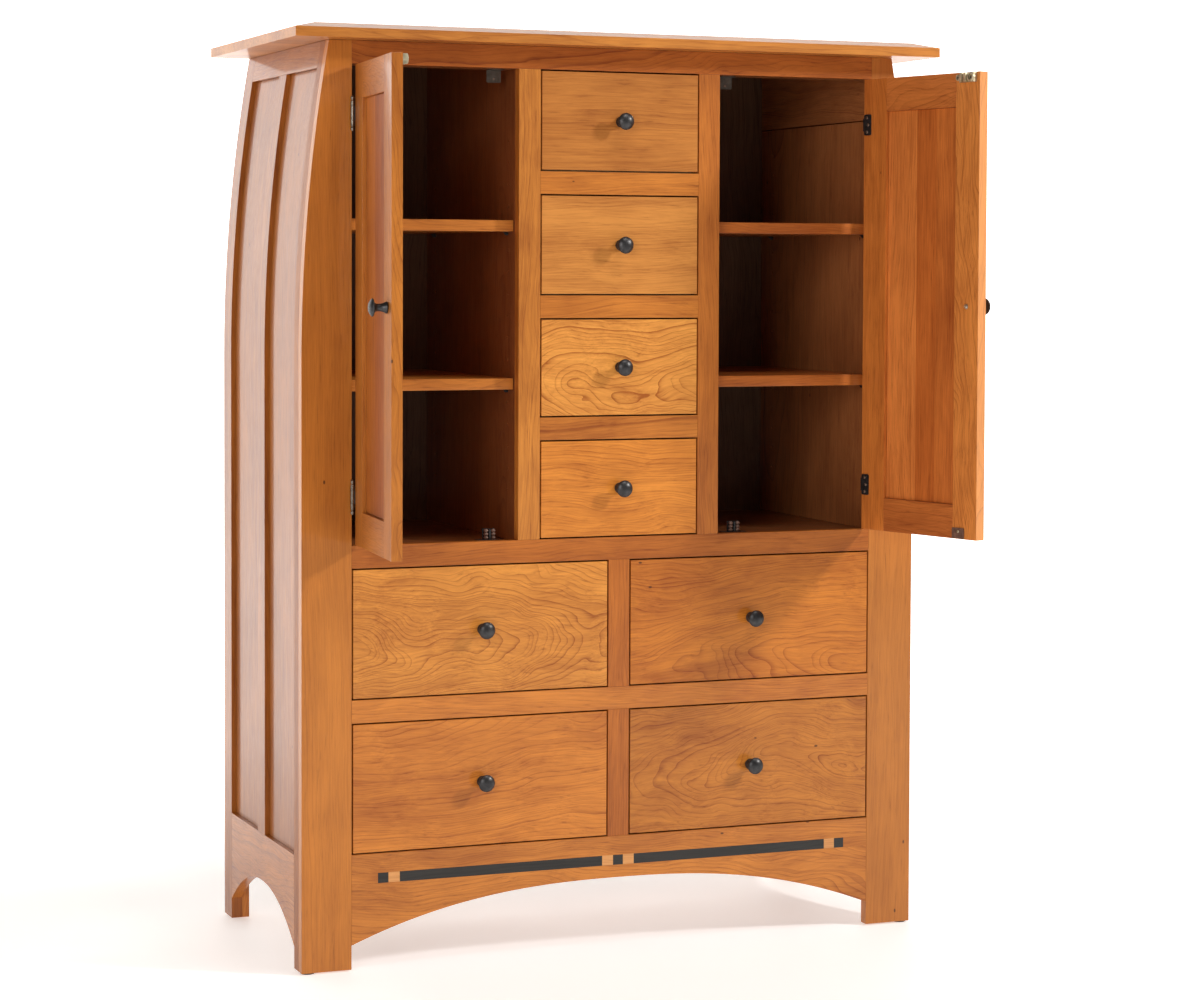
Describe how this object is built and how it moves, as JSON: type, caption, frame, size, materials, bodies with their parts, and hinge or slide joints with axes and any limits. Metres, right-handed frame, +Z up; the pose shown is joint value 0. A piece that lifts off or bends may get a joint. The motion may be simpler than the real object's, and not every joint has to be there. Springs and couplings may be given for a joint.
{
  "type": "armoire",
  "caption": "Cherry armoire with gently bowed frame-and-panel sides, an overhanging bevelled top, hinged doors beside a bank of small drawers, and wide drawers over an arched base.",
  "frame": {"origin": "on the floor, under the centre of the bounding box with the doors open as pictured", "axes": "+Z up, +Y from the front of the case to its back, +X to the right for someone facing the front"},
  "size_m": [1.22, 0.8296, 1.631],
  "materials": {
    "cherry_case": "satin clear lacquer over cherry",
    "cherry_front": "satin clear lacquer over lighter figured cherry",
    "cherry_panel": "satin clear lacquer over book-matched cherry",
    "drawer_maple": "thin clear lacquer over maple",
    "dark_bronze": "satin dark bronze"
  },
  "bodies": {
    "case": {"top_slab": "cherry_case", "front_post_left": "cherry_case", "front_post_right": "cherry_case", "side_frame_left": "cherry_case", "side_frame_right": "cherry_case", "side_panel_left_front": "cherry_panel", "side_panel_left_rear": "cherry_panel", "side_panel_right_front": "cherry_panel", "side_panel_right_rear": "cherry_panel", "back_panel": "cherry_panel", "top_rail": "cherry_case", "mid_rail": "cherry_case", "lower_rail": "cherry_case", "centre_rail_1": "cherry_case", "centre_rail_2": "cherry_case", "centre_rail_3": "cherry_case", "bottom_board": "cherry_case", "apron": "cherry_case", "divider_left": "cherry_case", "divider_right": "cherry_case", "divider_lower_1": "cherry_case", "divider_lower_2": "cherry_case", "shelf_left_lower": "cherry_panel", "shelf_left_upper": "cherry_panel", "shelf_right_lower": "cherry_panel", "shelf_right_upper": "cherry_panel"},
    "door_left": {"door_left_frame": "cherry_case", "door_left_panel": "cherry_panel", "door_left_knob": "dark_bronze", "hinge_left_lower": "dark_bronze", "hinge_left_upper": "dark_bronze"},
    "door_right": {"door_right_frame": "cherry_case", "door_right_panel": "cherry_panel", "door_right_knob": "dark_bronze", "hinge_right_lower": "dark_bronze", "hinge_right_upper": "dark_bronze"},
    "centre_drawer_1": {"centre_drawer_1_front": "cherry_front", "centre_drawer_1_box": "drawer_maple", "centre_drawer_1_knob": "dark_bronze"},
    "centre_drawer_2": {"centre_drawer_2_front": "cherry_front", "centre_drawer_2_box": "drawer_maple", "centre_drawer_2_knob": "dark_bronze"},
    "centre_drawer_3": {"centre_drawer_3_front": "cherry_front", "centre_drawer_3_box": "drawer_maple", "centre_drawer_3_knob": "dark_bronze"},
    "centre_drawer_4": {"centre_drawer_4_front": "cherry_front", "centre_drawer_4_box": "drawer_maple", "centre_drawer_4_knob": "dark_bronze"},
    "wide_drawer_left_upper": {"wide_drawer_left_upper_front": "cherry_front", "wide_drawer_left_upper_box": "drawer_maple", "wide_drawer_left_upper_knob": "dark_bronze"},
    "wide_drawer_right_upper": {"wide_drawer_right_upper_front": "cherry_front", "wide_drawer_right_upper_box": "drawer_maple", "wide_drawer_right_upper_knob": "dark_bronze"},
    "wide_drawer_left_lower": {"wide_drawer_left_lower_front": "cherry_front", "wide_drawer_left_lower_box": "drawer_maple", "wide_drawer_left_lower_knob": "dark_bronze"},
    "wide_drawer_right_lower": {"wide_drawer_right_lower_front": "cherry_front", "wide_drawer_right_lower_box": "drawer_maple", "wide_drawer_right_lower_knob": "dark_bronze"}
  },
  "joints": [
    {"name": "door_left_hinge", "type": "hinge", "parent": "case", "child": "door_left", "pos_m": [-0.497, -0.11094, 1.151], "axis": [0, 0, -1], "range_deg": [-96, 74]},
    {"name": "door_right_hinge", "type": "hinge", "parent": "case", "child": "door_right", "pos_m": [0.497, -0.11094, 1.151], "axis": [0, 0, 1], "range_deg": [-105, 65]},
    {"name": "centre_drawer_1_slide", "type": "slide", "parent": "case", "child": "centre_drawer_1", "axis": [0, -1, 0], "range_m": [0, 0.38]},
    {"name": "centre_drawer_2_slide", "type": "slide", "parent": "case", "child": "centre_drawer_2", "axis": [0, -1, 0], "range_m": [0, 0.38]},
    {"name": "centre_drawer_3_slide", "type": "slide", "parent": "case", "child": "centre_drawer_3", "axis": [0, -1, 0], "range_m": [0, 0.38]},
    {"name": "centre_drawer_4_slide", "type": "slide", "parent": "case", "child": "centre_drawer_4", "axis": [0, -1, 0], "range_m": [0, 0.38]},
    {"name": "wide_drawer_left_upper_slide", "type": "slide", "parent": "case", "child": "wide_drawer_left_upper", "axis": [0, -1, 0], "range_m": [0, 0.38]},
    {"name": "wide_drawer_right_upper_slide", "type": "slide", "parent": "case", "child": "wide_drawer_right_upper", "axis": [0, -1, 0], "range_m": [0, 0.38]},
    {"name": "wide_drawer_left_lower_slide", "type": "slide", "parent": "case", "child": "wide_drawer_left_lower", "axis": [0, -1, 0], "range_m": [0, 0.38]},
    {"name": "wide_drawer_right_lower_slide", "type": "slide", "parent": "case", "child": "wide_drawer_right_lower", "axis": [0, -1, 0], "range_m": [0, 0.38]}
  ]
}
